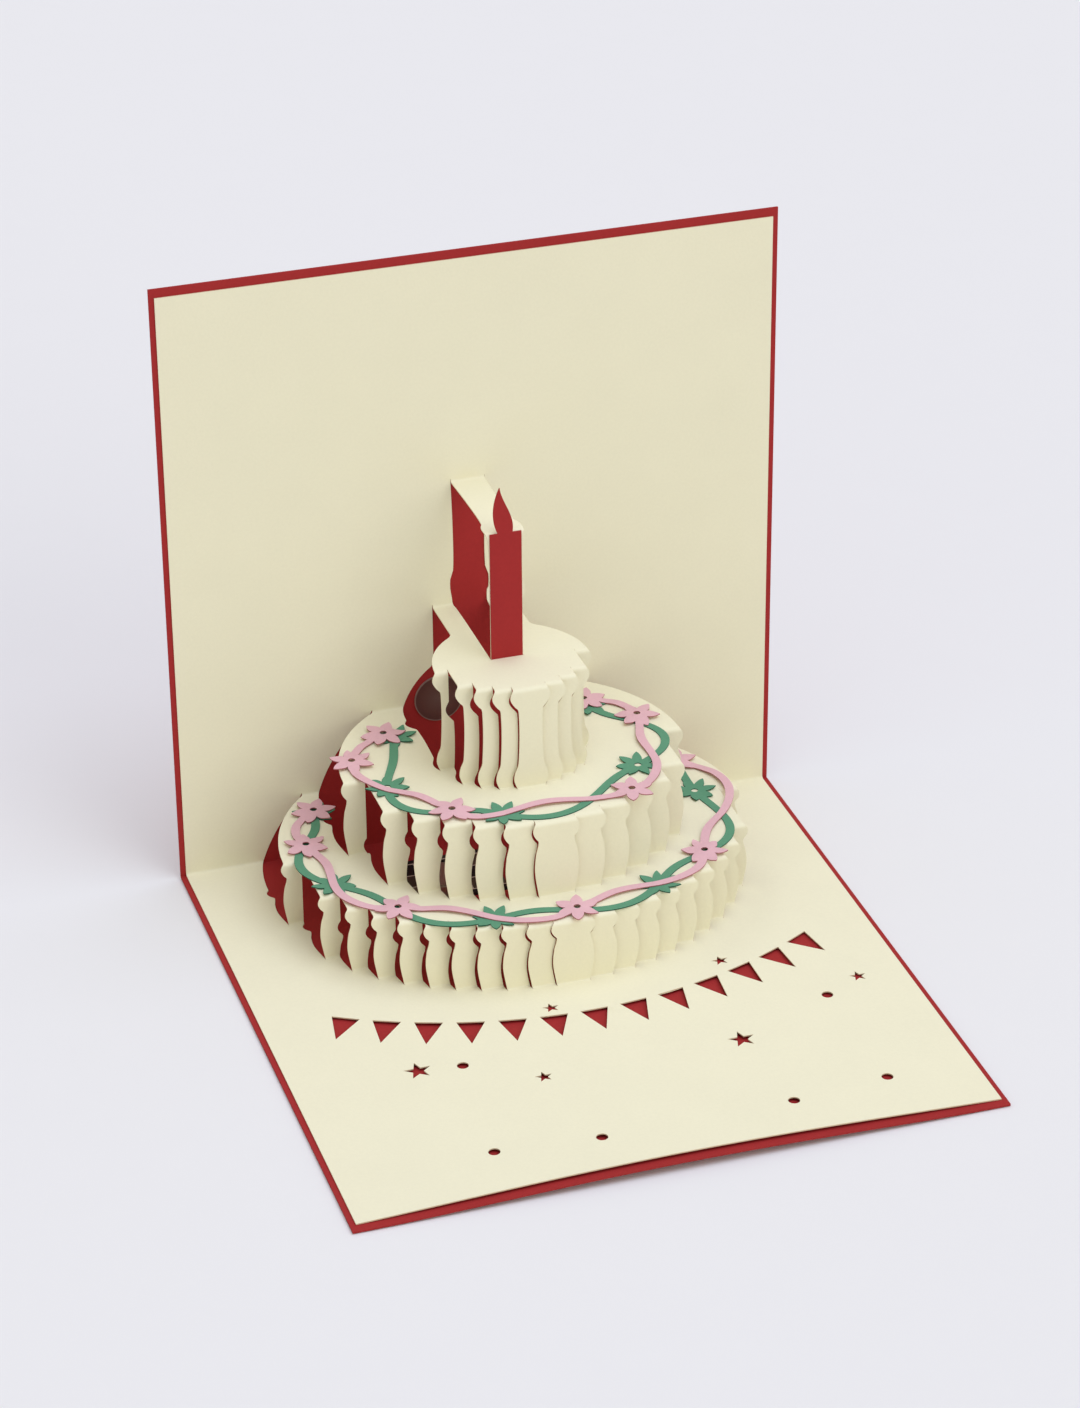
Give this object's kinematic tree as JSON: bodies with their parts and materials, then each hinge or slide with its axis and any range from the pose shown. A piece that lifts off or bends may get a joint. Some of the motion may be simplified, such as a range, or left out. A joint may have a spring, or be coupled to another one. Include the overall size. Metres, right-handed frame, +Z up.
{
  "type": "pop-up card",
  "caption": "Pop-up birthday card opened at a right angle: red cover, cream sheet cut and folded into a round tiered cake with a candle, and paper garlands on the tiers.",
  "frame": {"origin": "middle of the underside of the lying half of the cover, on the table", "axes": "+X runs along the fold to the right as the card is read, +Y runs from the front edge to the fold, +Z is up along the upright half"},
  "size_m": [0.15, 0.153, 0.153],
  "materials": {
    "cover_red": "matte",
    "sheet_cream": "matte",
    "garland_green": "matte",
    "garland_pink": "matte",
    "candle_red": "matte",
    "disc_metal": "satin",
    "board_black": "matte",
    "cell_steel": "satin"
  },
  "bodies": {
    "root": {"cover": "cover_red", "popup_sheet": "sheet_cream", "lower_green_garland": "garland_green", "lower_pink_garland": "garland_pink", "middle_green_garland": "garland_green", "middle_pink_garland": "garland_pink", "candle": "candle_red", "sounder_disc": "disc_metal", "sound_board": "board_black", "button_cell": "cell_steel"}
  },
  "joints": []
}
